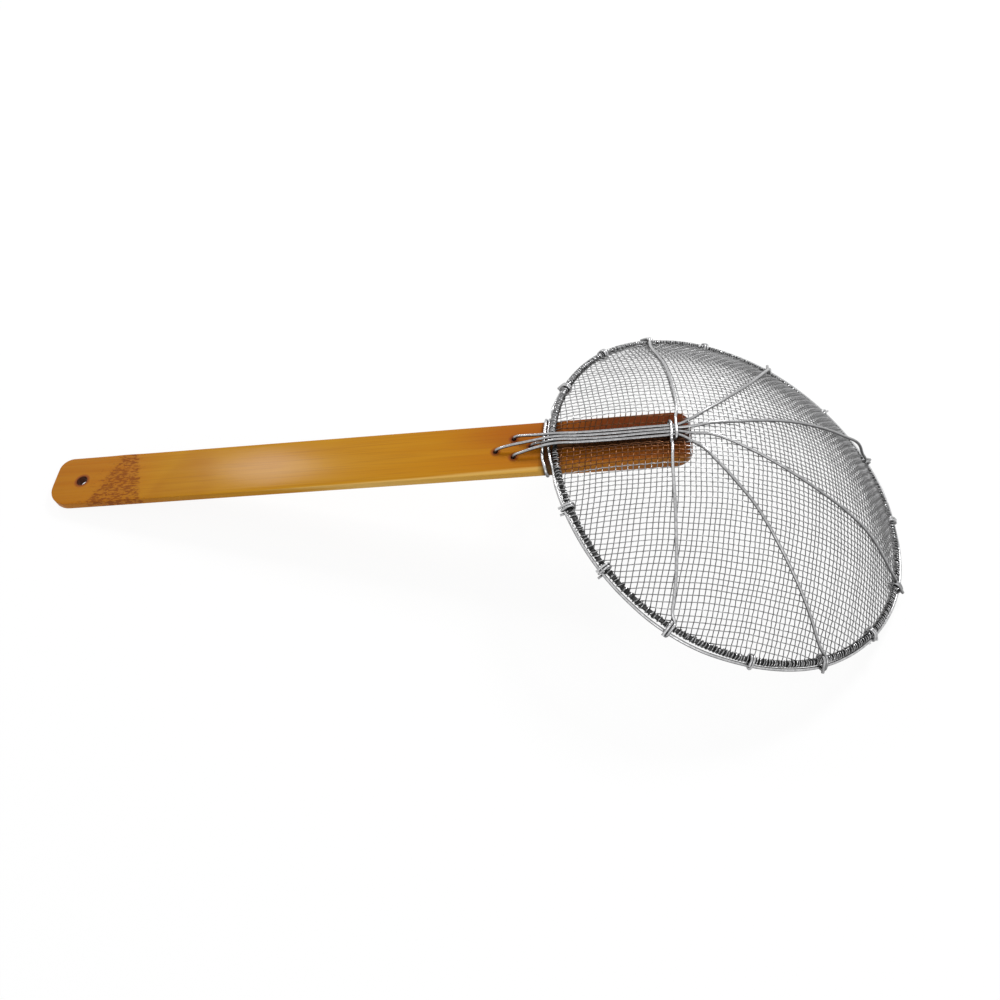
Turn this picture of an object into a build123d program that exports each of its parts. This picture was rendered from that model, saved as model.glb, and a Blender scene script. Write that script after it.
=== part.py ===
from build123d import *
import os
from math import atan2, cos, degrees, hypot, pi, radians, sin, sqrt, tan

# Spider skimmer: a domed wire mesh bowl on a round rim, with a flat bamboo handle.
# The pieces are drawn in the bowl's own frame: the hoop lies in the plane z = 0 round the origin,
# the dome rises to +Z and the handle leaves at -X. At the end the whole skimmer is laid face down,
# on its far rim and the free end of its handle, with the handle along X.
# Lengths are in millimetres and angles in degrees.

# Driving dimensions of the rim and the bowl.
rim_radius = 101.0
bowl_rise = 39.5
hoop_wire = 2.4
hoop_opening = 8.6
winding_wall = 0.6
winding_fit = 0.05
outer_wire = 1.6
outer_wire_dip = 35.0
tie_wire = 1.2
wire_gap = 0.1

# Driving dimensions of the mesh. Each wire of the model stands for two of the real weave.
mesh_wire = 0.5
mesh_pitch = 5.0
mesh_margin = 0.8
mesh_slot_length = 8.0

# Driving dimensions of the ribs and the cross brace.
rib_wire = 1.6
rib_lift_gap = 0.3
rib_dome_step = 17.0
bundle_end = 46.5
bundle_spacing = 2.1
brace_reach = 50.0
brace_spacing = 3.4
brace_wire = 1.6

# Driving dimensions of the handle, with its angle to the plane of the rim.
handle_angle = 28.2
handle_length = 347.4
handle_width = 32.0
handle_thickness = 5.0
handle_side_shift = 1.0
handle_edge_radius = 1.6
upper_end_corner = 7.0
lower_end_corner = 12.5
tongue_length = 70.4
tongue_corner = 9.0
hang_hole = 5.8
hang_hole_inset = 17.0
hang_hole_side = 0.6
wire_hole = 2.4
hole_diamond_middle = 19.2
hole_diamond_length = 18.5
hole_diamond_width = 12.0
strand_spacing = 2.6
bundle_clearance = 0.2

# Places round the rim, in degrees from the far side of the bowl, as the photographed skimmer has them.
rib_angles = (69.7, 25.1, -23.0, -67.6)
brace_angles = (115.0, -114.5)
brace_shares = (0.965, 0.78, 0.58, 0.38, 0.2)

# The rise of a rib from its hole: shares of the way back to the hole, of the way to its row and of its crest.
rise_way_share, rise_row_share, rise_crest_share = 0.7, 0.35, 0.72
tie_angles = (157.2, 134.6, 93.4, 46.8, 2.4, -45.5, -90.6, -137.3, -157.6)

# Where the outer wire leaves its ring on each side of the handle, in degrees.
ring_leave = 12.0

# Shares of the rim radius: the straight runs of the mesh wires, and the last wire of each direction.
mesh_cell_share = 0.2
near_shares = (-1.02, -0.7)
far_shares = (-0.22, 0.0, 0.22, 0.43, 0.64, 0.84, 1.02)
side_shares = (0.22, 0.43, 0.64, 0.84, 1.02)

# Counts.
ring_steps = 56
wire_sides = 6
sleeve_sides = 8
wrap_sides = 8
tie_turns = 2
end_turns = 1.5

# Sizes that follow from the driving dimensions.
hoop_radius = hoop_wire / 2
winding_radius = hoop_radius + winding_fit + winding_wall
outer_offset = winding_radius + wire_gap + outer_wire / 2
outer_ring_radius = rim_radius + outer_offset * cos(radians(outer_wire_dip))
outer_ring_drop = outer_offset * sin(radians(outer_wire_dip))
rim_slope = 2 * bowl_rise / rim_radius
rim_lean = cos(atan2(2 * bowl_rise, rim_radius))
mesh_cell = mesh_cell_share * rim_radius
cell_sag = rim_slope / rim_radius * mesh_cell**2 / 8
mesh_seat = (winding_radius + wire_gap) / rim_lean + mesh_wire * (1 + rim_slope) / 2 + cell_sag
layer_step = mesh_wire * (1 + rim_slope) + wire_gap
mesh_top = layer_step + mesh_wire / 2
turn_pitch = rib_wire + wire_gap
bundle_rows = [(1.5 - row) * bundle_spacing for row in range(len(rib_angles))]
bundle_half_width = bundle_rows[0] + rib_wire / 2
bundle_strip = bundle_half_width + rib_wire
opening_half_width = bundle_half_width + 3 * rib_wire
rib_lift = mesh_top + rib_lift_gap + rib_wire / 2
rib_sag = rim_slope / rim_radius * rib_dome_step**2 / 8


def dome(x, y):
    """Height of the inner mesh layer of an even bowl, before it is drawn in under the ribs."""
    return mesh_seat + bowl_rise * (1 - (x * x + y * y) / rim_radius**2)


# The bundle of ribs runs straight from the hoop to the place where the ribs fan out.
bundle_foot = hoop_radius + wire_gap + rib_wire / 2 + bundle_clearance
bundle_head = dome(bundle_end, 0) + rib_lift


def bundle_height(x):
    """Height of the middle of the bundle along the handle, for x from the rim to its end."""
    return bundle_foot + (bundle_head - bundle_foot) * (x + rim_radius) / (rim_radius - bundle_end)


# Lines where the straight runs of the mesh wires meet.
across_breaks = [share * rim_radius for share in near_shares + far_shares]
across_breaks = sorted(across_breaks + [mesh_slot_length - rim_radius, -bundle_end])
along_breaks = [side * share * rim_radius for side in (-1, 1) for share in side_shares]
along_breaks = sorted(along_breaks + [handle_side_shift - bundle_strip, handle_side_shift + bundle_strip])


def drawn_in(x, y):
    """How far the mesh is drawn in under the bundle at a break point."""
    if abs(y - handle_side_shift) > bundle_strip + wire_gap or not -rim_radius < x <= -bundle_end:
        return 0
    return max(0, dome(x, 0) + rib_lift - bundle_height(x))


def mesh_height(x, y):
    """Height of the inner mesh layer, straight between its break lines both ways."""
    i = max(k for k in range(len(across_breaks) - 1) if across_breaks[k] <= x)
    j = max(k for k in range(len(along_breaks) - 1) if along_breaks[k] <= y)
    x0, x1 = across_breaks[i], across_breaks[i + 1]
    y0, y1 = along_breaks[j], along_breaks[j + 1]
    s, t = (x - x0) / (x1 - x0), (y - y0) / (y1 - y0)
    corner = [[dome(a, b) - drawn_in(a, b) for b in (y0, y1)] for a in (x0, x1)]
    near = corner[0][0] * (1 - t) + corner[0][1] * t
    far = corner[1][0] * (1 - t) + corner[1][1] * t
    return near * (1 - s) + far * s


def wire(points, diameter):
    """A faceted wire that runs straight from point to point."""
    path = Polyline(points)
    section = Plane(path @ 0, z_dir=path % 0) * RegularPolygon(diameter / 2, wire_sides)
    return sweep(section, path, transition=Transition.RIGHT)


def ring(diameter, radius, height, arc=360.0, start=0.0, bore=0.0, sides=wire_sides):
    """A faceted ring or part of a ring round the Z axis."""
    section = RegularPolygon(diameter / 2, sides)
    if bore:
        section -= RegularPolygon(bore / 2, wire_sides)
    section = Plane.XZ * Pos(radius, height) * section
    return Rot(0, 0, start) * revolve(section, Axis.Z, arc)


def rim_wrap(angle, diameter, turns, first, pitch, side=1):
    """Points of a wire wound round the hoop's winding and the outer wire, at an angle of the rim.
    The turns follow a polygon that fits round both, and step sideways by one pitch each."""
    grip = diameter / 2 + wire_gap
    around = 2 * pi / wrap_sides
    big, small = winding_radius + grip, outer_wire / 2 + grip
    tilt = radians(outer_wire_dip)
    turn = radians(angle)

    def support(k):
        direction = around * k
        return direction, max(big, outer_offset * cos(direction) + small)

    points = []
    steps = round(turns * wrap_sides)
    for k in range(first, first - steps - 1, -1):
        (a, ha), (b, hb) = support(k), support(k + 1)
        u = (ha * sin(b) - hb * sin(a)) / sin(around)
        v = (hb * cos(a) - ha * cos(b)) / sin(around)
        out = rim_radius + u * cos(tilt) + v * sin(tilt)
        up = v * cos(tilt) - u * sin(tilt)
        along = side * pitch * ((first - k) / wrap_sides - turns / 2)
        points.append((out * cos(turn) - along * sin(turn), out * sin(turn) + along * cos(turn), up))
    return points


# The handle's frame: its origin on the face that touches the winding, below the hoop, with X towards
# the tip of the tongue, Y across and Z square to the face.
edge_inset = rim_radius - sqrt(rim_radius**2 - (handle_width / 2)**2)
face_drop = (winding_radius + wire_gap) / cos(radians(handle_angle)) + edge_inset * tan(radians(handle_angle))
handle_plane = Plane(
    origin=(-rim_radius, handle_side_shift, -face_drop),
    x_dir=(cos(radians(handle_angle)), 0, sin(radians(handle_angle))),
    z_dir=(-sin(radians(handle_angle)), 0, cos(radians(handle_angle))),
)
free_end = handle_length - tongue_length
hole_places = (
    (-hole_diamond_middle, hole_diamond_width / 2),
    (-hole_diamond_middle - hole_diamond_length / 2, -turn_pitch),
    (-hole_diamond_middle + hole_diamond_length / 2, -turn_pitch / 2),
    (-hole_diamond_middle, -hole_diamond_width / 2),
)


def on_handle(s, y, h):
    """A point given in the handle's frame."""
    return tuple(handle_plane.from_local_coords(Vector(s, y, h)))


def make_handle():
    outline = Pos((tongue_length - free_end) / 2, 0) * Rectangle(handle_length, handle_width)
    outline = fillet(outline.vertices().group_by(Axis.X)[-1], tongue_corner)
    outline = fillet(outline.vertices().group_by(Axis.X)[0].sort_by(Axis.Y)[0], lower_end_corner)
    outline = fillet(outline.vertices().sort_by(Axis.Y)[-2:].sort_by(Axis.X)[0], upper_end_corner)
    bar = extrude(outline, -handle_thickness)
    bar = fillet(bar.edges().group_by(Axis.Z)[0] + bar.edges().group_by(Axis.Z)[-1], handle_edge_radius)
    bar -= Pos(hang_hole_inset - free_end, -hang_hole_side) * Cylinder(hang_hole / 2, 3 * handle_thickness)
    for s, y in hole_places:
        bar -= Pos(s, y) * Cylinder(wire_hole / 2, 3 * handle_thickness)
    return handle_plane * bar


def make_hoop():
    """The hoop: its two ends meet the handle under the ribs, a little apart."""
    lower = degrees((opening_half_width - handle_side_shift) / rim_radius)
    return ring(hoop_wire, rim_radius, 0, 360 - degrees(hoop_opening / rim_radius), lower - 180)


def make_winding():
    """The mesh's edge, wound round the hoop and left open where the ribs cross it."""
    opening, shift = (degrees(length / rim_radius) for length in (2 * opening_half_width, handle_side_shift))
    return ring(2 * winding_radius, rim_radius, 0, 360 - opening, opening / 2 - shift - 180,
                bore=hoop_wire + 2 * winding_fit, sides=sleeve_sides)


def make_outer_wire():
    """The outer wire: round the rim, then one and a half turns round the handle."""
    lift = outer_wire / 2 + wire_gap
    half = handle_width / 2 + lift
    left, right = -2 * strand_spacing, -strand_spacing
    back = -handle_thickness - lift
    points = [on_handle(0, handle_width / 4, back), on_handle(0, half, back)]
    points.append(on_handle(0, half, -handle_thickness / 2))
    for k in range(ring_steps + 1):
        turn = pi - radians(ring_leave) - k * radians(360 - 2 * ring_leave) / ring_steps
        reach = outer_ring_radius / cos(radians(180 - ring_leave) / ring_steps)
        points.append((reach * cos(turn), reach * sin(turn), -outer_ring_drop))
    points += [on_handle(right, -half, lift), on_handle(right, half, lift)]
    points += [on_handle(right, half, back), on_handle(left, -half, back)]
    points += [on_handle(left, -half, lift), on_handle(left, half, lift), on_handle(left, half, back)]
    points.append(on_handle(left, handle_width / 4, back))
    return wire(points, outer_wire)


def mesh_short_reach():
    """The radius at which a mesh wire stops beside a tie or a rib's end."""
    return rim_radius - winding_radius - 2 * wire_gap - rib_wire - mesh_wire


def mesh_end(offset, along, sign):
    """Where a mesh wire ends: over the rim's winding, or short of it beside a tie or a rib's end."""
    if along and sign < 0 and abs(offset - handle_side_shift) < bundle_strip + mesh_wire:
        return mesh_slot_length - rim_radius
    short = mesh_short_reach()
    long = rim_radius + mesh_margin
    room = degrees((tie_turns * turn_pitch + mesh_wire) / rim_radius)
    for reach in (short, rim_radius - winding_radius, long):
        place = sign * sqrt(reach**2 - offset**2)
        angle = degrees(atan2(offset, place) if along else atan2(place, offset))
        if any(abs(angle - other) < room for other in rib_angles + brace_angles + tie_angles):
            return sign * sqrt(short**2 - offset**2)
    return place


def mesh_strip(offset, along, lift):
    """One straight wire of the mesh, drawn as a strip that follows the bowl in an upright plane."""
    breaks = across_breaks if along else along_breaks
    ends = [mesh_end(offset, along, sign) for sign in (-1, 1)]
    stations = [ends[0]] + [b for b in breaks if ends[0] + mesh_wire < b < ends[1] - mesh_wire] + [ends[1]]
    height = (lambda q: mesh_height(q, offset)) if along else (lambda q: mesh_height(offset, q))
    low = [(q, height(q) + lift - mesh_wire / 2) for q in stations]
    high = [(q, height(q) + lift + mesh_wire / 2) for q in reversed(stations)]
    face = make_face(Polyline(low + high, close=True))
    plane = Plane.XZ if along else Plane.YZ
    strip = extrude(plane * face, mesh_wire / 2, both=True)
    return (Pos(0, offset, 0) if along else Pos(offset, 0, 0)) * strip


def make_mesh(along):
    """All mesh wires of one direction: those along the handle lie outside those across it."""
    count = int((mesh_short_reach() - mesh_wire) / mesh_pitch)
    strips = []
    for k in range(-count, count + 1):
        offset = k * mesh_pitch
        if not along and offset < -rim_radius + mesh_slot_length:
            strips += split_strip(offset)
            continue
        strips.append(mesh_strip(offset, along, layer_step if along else 0))
    return strips


def split_strip(offset):
    """A wire across the mesh beside the rim, parted in the middle to let the ribs through."""
    strip = mesh_strip(offset, False, 0)
    slot = Box(mesh_pitch, 2 * (bundle_strip + rib_wire), 4 * bowl_rise)
    return list((strip - Pos(offset, handle_side_shift) * slot).solids())


def fan_points(row, angle):
    """Points of one rib over the dome, from the end of the bundle to near the rim."""
    target = radians(angle)
    x0, y0 = -bundle_end, row + handle_side_shift
    x1, y1 = rim_radius * cos(target), rim_radius * sin(target)
    length = hypot(x1 - x0, y1 - y0)
    last = 1 - (winding_radius + rib_wire) / length
    count = round(length * last / rib_dome_step)
    points = [(x0, y0, bundle_head)]
    for k in range(1, count + 1):
        t = last * k / count
        x, y = x0 + (x1 - x0) * t, y0 + (y1 - y0) * t
        points.append((x, y, dome(x, y) + rib_lift + rib_sag))
    return points


def rib_points(row, angle, hole):
    """Points of one rib, from below its hole in the handle to its end round the rim."""
    s, y = hole
    crest = handle_plane.to_local_coords(Vector(-rim_radius, row, bundle_foot)).Z
    points = [on_handle(s, y, -handle_thickness - rib_wire / 2 - wire_gap), on_handle(s, y, rib_wire / 2)]
    points.append(on_handle(s * rise_way_share, y + (row - y) * rise_row_share, crest * rise_crest_share))
    points.append(on_handle(-2 * strand_spacing, row, crest))
    points.append((-rim_radius, row + handle_side_shift, bundle_foot))
    points += fan_points(row, angle)
    return points + rim_wrap(angle, rib_wire, end_turns, 3, turn_pitch, 1 if angle > 0 else -1)


def make_rib_pair(first):
    """Two ribs bent from one wire, which crosses the back of the handle between two holes."""
    one = rib_points(bundle_rows[first], rib_angles[first], hole_places[first])
    two = rib_points(bundle_rows[first + 1], rib_angles[first + 1], hole_places[first + 1])
    return wire(one[::-1] + two, rib_wire)


def make_brace():
    """The cross brace, from rim to rim, with one turn round the bundle and through the mesh."""
    cross = brace_wire / 2 + wire_gap
    right, left = -brace_reach + brace_spacing / 2, -brace_reach - brace_spacing / 2
    edge, side = bundle_half_width + brace_wire / 2, 1.5 * mesh_pitch
    upper_edge, lower_edge = handle_side_shift + edge, handle_side_shift - edge
    top = bundle_height(right + brace_wire) + rib_wire / 2 + cross
    bottom = mesh_height(left, 0) - mesh_wire - cross - wire_gap

    def over_dome(angle, x):
        target = radians(angle)
        x1, y1 = rim_radius * cos(target), rim_radius * sin(target)
        points = []
        for share in brace_shares:
            y = y1 * share
            across = x + (x1 - x) * share**2
            points.append((across, y, dome(across, y) + rib_lift + rib_sag))
        return points

    points = rim_wrap(brace_angles[0], brace_wire, end_turns, 3, turn_pitch)[::-1]
    points += over_dome(brace_angles[0], right)
    points += [(right, upper_edge, top), (right, lower_edge, top), (right, -side, top - brace_wire)]
    points += [(right, -side, bottom), (left, side, bottom)]
    points += [(left, side, top - brace_wire), (left, upper_edge, top), (left, lower_edge, top)]
    points += over_dome(brace_angles[1], left)[::-1]
    points += rim_wrap(brace_angles[1], brace_wire, end_turns, 3, turn_pitch, -1)
    return wire(points, brace_wire)


def make_tie(angle):
    """A short wire wound twice round the rim, with both ends standing out past the outer wire."""
    points = rim_wrap(angle, tie_wire, tie_turns, 1, tie_wire + wire_gap)
    return wire(points, tie_wire)


pieces = {
    "bamboo_handle": [make_handle()],
    "rim_hoop": [make_hoop()],
    "rim_winding": [make_winding()],
    "rim_outer_wire": [make_outer_wire()],
    "mesh_wires_along": make_mesh(True),
    "mesh_wires_across": make_mesh(False),
    "rib_pair_upper": [make_rib_pair(0)],
    "rib_pair_lower": [make_rib_pair(2)],
    "cross_brace": [make_brace()],
}
for number, angle in enumerate(tie_angles, 1):
    pieces[f"rim_tie_{number:02d}"] = [make_tie(angle)]

# The skimmer lies face down on two places: the far side of the rim and the free end of the handle.
end_low = Vector(*on_handle(-free_end, 0, -handle_thickness))
rim_low = Vector(outer_ring_radius, 0, -outer_ring_drop - outer_wire / 2 - wire_gap - tie_wire)
rest_tilt = degrees(atan2(rim_low.Z - end_low.Z, rim_low.X - end_low.X))
laid = {name: [Rot(0, rest_tilt, 0) * solid for solid in solids] for name, solids in pieces.items()}
extent = Compound([solid for solids in laid.values() for solid in solids]).bounding_box()
to_floor = Pos(-extent.center().X, -extent.center().Y, -extent.min.Z)

os.makedirs("parts", exist_ok=True)
for name, solids in laid.items():
    placed = [to_floor * solid for solid in solids]
    export_step(placed[0] if len(placed) == 1 else Compound(placed), f"parts/{name}.step")
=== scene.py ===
"""Spider skimmer: a domed wire mesh bowl on a wound rim, with a flat bamboo handle.

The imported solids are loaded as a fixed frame, and each piece of the looks is built in the place of its solid.
Sizes are in metres. The bowl's own frame has the hoop in its plane z = 0 round the origin, the dome towards +Z
and the handle at -X. The handle's own frame starts where its face meets the rim, with X towards the tongue's tip.
"""

import math
import random

import bpy
import numpy as np
from mathutils import Matrix, Vector


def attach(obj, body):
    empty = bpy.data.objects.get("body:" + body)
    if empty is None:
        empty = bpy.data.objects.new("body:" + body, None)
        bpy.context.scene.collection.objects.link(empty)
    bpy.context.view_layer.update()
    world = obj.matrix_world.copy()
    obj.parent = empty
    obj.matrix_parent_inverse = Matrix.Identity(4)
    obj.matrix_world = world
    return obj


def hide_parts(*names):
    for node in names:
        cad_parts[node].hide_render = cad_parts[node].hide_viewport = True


bl_info = {
    "name": "Spider skimmer",
    "version": (1, 0, 0),
    "blender": (4, 5, 0),
    "location": "View3D > Sidebar > Skimmer",
    "description": "Builds a wire skimmer with a bamboo handle around its packed solids",
    "category": "Object",
}

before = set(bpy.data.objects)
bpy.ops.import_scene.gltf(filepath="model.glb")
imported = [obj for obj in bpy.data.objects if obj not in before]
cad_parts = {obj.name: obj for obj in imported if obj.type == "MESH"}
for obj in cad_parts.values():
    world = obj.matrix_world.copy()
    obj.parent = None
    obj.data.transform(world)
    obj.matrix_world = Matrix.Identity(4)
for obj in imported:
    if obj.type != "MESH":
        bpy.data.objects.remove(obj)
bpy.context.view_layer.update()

MM = 0.001

# The bowl's frame is read from the hoop's solid: the tilt of its plane, and the middle of its circle.
RIM_RADIUS = 0.101
hoop_points = np.array([v.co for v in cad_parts["rim_hoop"].data.vertices])
hoop_normal = np.linalg.svd(hoop_points - hoop_points.mean(0), full_matrices=False)[2][2]
hoop_normal *= np.sign(hoop_normal[2])
BOWL_TURN = Matrix.Rotation(math.atan2(hoop_normal[0], hoop_normal[2]), 4, "Y")
flat_points = hoop_points @ np.array(BOWL_TURN.to_3x3())
circle = np.linalg.lstsq(
    np.c_[2 * flat_points[:, :2], np.ones(len(flat_points))], (flat_points[:, :2] ** 2).sum(1), rcond=None
)[0]
BOWL = BOWL_TURN @ Matrix.Translation((circle[0], circle[1], flat_points[:, 2].mean()))

# The handle's frame, as it lies against the rim: its angle to the rim's plane, and in millimetres how far it
# lies to the far side of the bowl's middle and how far its face lies below the hoop's middle where they meet.
HANDLE_ANGLE = math.radians(28.2)
HANDLE_SIDE = 1.0
HANDLE_DROP = 2.8965
HANDLE_START = Vector((-RIM_RADIUS, HANDLE_SIDE * MM, -HANDLE_DROP * MM))
HANDLE_IN_BOWL = Matrix.Translation(HANDLE_START) @ Matrix.Rotation(-HANDLE_ANGLE, 4, "Y")
HANDLE = BOWL @ HANDLE_IN_BOWL

# The angles round the rim, in degrees from its far side, at which the ribs, the brace and the ties hold it.
RIB_ANGLES = (69.7, 25.1, -23.0, -67.6)
BRACE_ANGLES = (115.0, -114.5)
TIE_ANGLES = (157.2, 134.6, 93.4, 46.8, 2.4, -45.5, -90.6, -137.3, -157.6)

# The ribs over the dome in millimetres of the bowl's plane, from the bundle to the rim.
RIB_PLANS = (
    (
        (-41.8, 6.4), (-35.1, 11.4), (-28.1, 17.3), (-20.2, 24.9), (-12.7, 32.4), (-4.9, 41.0), (3.2, 51.0),
        (12.6, 63.4), (22.6, 77.2), (31.6, 89.0),
    ),
    (
        (-41.0, 1.9), (-33.0, 3.4), (-17.8, 6.8), (-3.0, 11.3), (12.3, 16.2), (26.1, 20.5), (42.8, 26.6),
        (56.8, 31.4), (71.0, 35.6), (82.0, 38.8), (88.6, 41.0),
    ),
    (
        (-41.1, -2.4), (-33.7, -3.6), (-27.7, -5.1), (-16.8, -9.1), (-3.8, -13.9), (10.3, -18.7),
        (25.9, -22.9), (44.0, -26.2), (63.3, -30.0), (76.2, -34.8), (84.6, -37.6), (89.8, -38.4),
    ),
    (
        (-41.4, -7.6), (-37.1, -12.2), (-31.4, -18.7), (-25.3, -25.3), (-20.1, -30.9), (-14.0, -37.1),
        (-7.0, -45.0), (0.6, -53.9), (9.1, -63.3), (18.6, -73.4), (25.6, -80.9), (31.6, -87.4), (35.4, -90.4),
    ),
)
BRACE_UPPER_PLAN = (
    (-43.2, 88.4), (-45.6, 82.0), (-47.6, 71.5), (-47.5, 60.5), (-47.2, 49.6), (-47.4, 38.7), (-47.6, 27.1),
    (-47.8, 17.8), (-48.1, 11.0),
)
BRACE_LOWER_PLAN = (
    (-51.2, -10.5), (-51.2, -20.4), (-50.3, -31.7), (-48.8, -44.0), (-47.5, -53.7), (-46.0, -62.7),
    (-44.4, -73.2), (-43.4, -81.4), (-42.6, -87.6),
)

# How much flatter than a plain dome the mesh runs out to the rim, as a share, by the angle of the rim.
DOME_EASE = (
    (-180, 0.10), (-60, 0.15), (-30, 0.45), (0, 0.70), (20, 0.60), (32, 0.15), (52, 0.15), (64, 0.60), (75, 0.80),
    (105, 0.80), (125, 0.30), (180, 0.10),
)

# The distance in millimetres between turns of the coil, by the angle of the rim: it is wound loosely on the near
# side beside the handle and tightly on the far side.
COIL_PITCH = (
    (-180, 1.3), (-172, 1.9), (-160, 2.5), (-125, 2.7), (-112, 1.6), (-60, 1.4), (0, 1.5), (60, 1.5), (95, 1.3),
    (112, 1.0), (165, 0.9), (180, 0.9),
)

# The rim was bent by hand. By the angle of the rim: how far the hoop strays outwards from its circle and how far
# the outer wire's middle lies from the hoop's, both in millimetres, and its direction below the rim's plane in
# degrees.
HOOP_STRAY = (
    (-180, -1.2), (-170, -1.4), (-160, -1.6), (-150, -1.5), (-140, -0.8), (-130, -0.2), (-120, 0.1),
    (-110, 0.3), (-100, 0.1), (-80, 0.0), (-65, 0.1), (-20, 0.0), (0, -0.3), (20, 0.0), (60, -0.1),
    (100, -0.1), (110, -0.3), (120, 0.1), (130, 0.5), (150, 0.6), (165, 0.4), (180, 0.3),
)
OUTER_GAP = (
    (-180, 2.75), (-140, 2.7), (-128, 2.8), (-120, 3.2), (-104, 3.3), (-95, 2.8), (-84, 2.75), (-68, 3.0),
    (-57, 2.8), (-45, 2.75), (-30, 2.9), (-18, 2.95), (0, 2.75), (16, 2.9), (25, 2.8), (60, 2.75), (90, 2.75),
    (115, 2.7), (180, 2.7),
)
OUTER_DIP = (
    (-180, 35), (-60, 35), (-40, 28), (-20, 14), (0, 20), (14, 8), (30, 3), (70, 4), (88, 22), (108, 26),
    (122, 58), (160, 60), (172, 45), (180, 40),
)

# The wire holes in millimetres of the handle's frame, in the order of the ribs, and all its holes with their
# radii, the hang hole first.
WIRE_HOLES = ((-19.1, 5.9), (-28.4, -1.7), (-10.0, 0.1), (-19.1, -6.0))
HOLES = ((-259.9, -0.6, 2.9), *((x, y, 1.2) for x, y in WIRE_HOLES))

# The straight bundle of ribs, in millimetres of the bowl's frame: the distance along and the height of its middle
# line, how far it lies to the far side, and the distance between its four wires.
BUNDLE_LINE = ((-109.0, -1.2), (-101.0, 2.7), (-90.0, 7.9), (-80.0, 12.8), (-54.7, 27.1), (-47.5, 31.1))
BUNDLE_SHIFT = 0.7
BUNDLE_SPACING = 2.08

# The mesh: the outermost wire's share of the rim's radius, and in millimetres how far it starts inside the hoop's
# middle line, its height there, the radius of its folds round the hoop, and where it stops short at the bundle.
MESH_SHARE = 0.972
MESH_INSET = 0.8
MESH_EDGE_HEIGHT = 1.4
FOLD_RADIUS = 1.46
BUNDLE_HALF = 5.0
ALONG_STOP = -92.0
ACROSS_STOP = -92.8
ACROSS_GAP = (-5.2, 6.6)

# A wrap round the rim: the clearance to what it holds, and the angle in degrees between its points.
WRAP_GAP = 0.05 * MM
WRAP_STEP = 18


def size_setting(name, size, text):
    return bpy.props.FloatProperty(name=name, description=text, default=size, unit="LENGTH")


def colour_setting(name, colour, text):
    return bpy.props.FloatVectorProperty(name=name, description=text, default=colour, size=3, subtype="COLOR")


class RimSettings(bpy.types.PropertyGroup):
    hoop_wire: size_setting("Hoop wire", 0.0024, "Diameter of the hoop's wire")
    coil_wire: size_setting("Coil wire", 0.0006, "Diameter of the wire wound round the hoop")
    coil_radius: size_setting("Coil radius", 0.00158, "Radius of the coil's middle line")
    coil_ease: bpy.props.FloatProperty(name="Coil ease", default=1.0, description="How loosely the coil is wound")
    outer_wire: size_setting("Outer wire", 0.0016, "Diameter of the outer wire")
    tie_wire: size_setting("Tie wire", 0.0012, "Diameter of the ties' wire")


class BowlSettings(bpy.types.PropertyGroup):
    rise: size_setting("Rise", 0.0419, "Height of the mesh over the rim at its middle")
    pitch: size_setting("Mesh pitch", 0.0025, "Distance between neighbouring mesh wires")
    mesh_wire: size_setting("Mesh wire", 0.00052, "Diameter of a mesh wire")
    rib_wire: size_setting("Rib wire", 0.0016, "Diameter of the ribs and the brace")


class HandleSettings(bpy.types.PropertyGroup):
    length: size_setting("Length", 0.3472, "Length of the handle with its tongue")
    width: size_setting("Width", 0.032, "Width of the handle")
    thickness: size_setting("Thickness", 0.005, "Thickness of the handle")
    tongue: size_setting("Tongue", 0.0704, "Length of the tongue inside the rim")


class FinishSettings(bpy.types.PropertyGroup):
    steel: colour_setting("Steel", (0.40, 0.40, 0.405), "Colour of the drawn wire")
    mesh_steel: colour_setting("Mesh steel", (0.34, 0.34, 0.343), "Colour of the mesh wires")
    bamboo: colour_setting("Bamboo", (0.575, 0.255, 0.006), "Colour of the lacquered bamboo")
    burn: colour_setting("Burn marks", (0.21, 0.045, 0.008), "Colour of the scorched node band")


class Sum:
    """A shader value that can stand in a Python sum: each operator adds its Math node."""

    def __init__(self, paint, socket):
        self.paint, self.socket = paint, socket

    def math(self, operation, *values):
        return self.paint.node("ShaderNodeMath", {"operation": operation}, values)

    def __add__(self, other):
        return self.math("ADD", self, other)

    def __sub__(self, other):
        return self.math("SUBTRACT", self, other)

    def __rsub__(self, other):
        return self.math("SUBTRACT", other, self)

    def __mul__(self, other):
        return self.math("MULTIPLY", self, other)

    def __truediv__(self, other):
        return self.math("DIVIDE", self, other)

    def __abs__(self):
        return self.math("ABSOLUTE", self)

    def rises(self, low, high):
        """0 below low, 1 above high and a smooth step between."""
        settings = {"interpolation_type": "SMOOTHSTEP"}
        return self.paint.node("ShaderNodeMapRange", settings, {"Value": self, "From Min": low, "From Max": high})

    __radd__ = __add__


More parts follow.
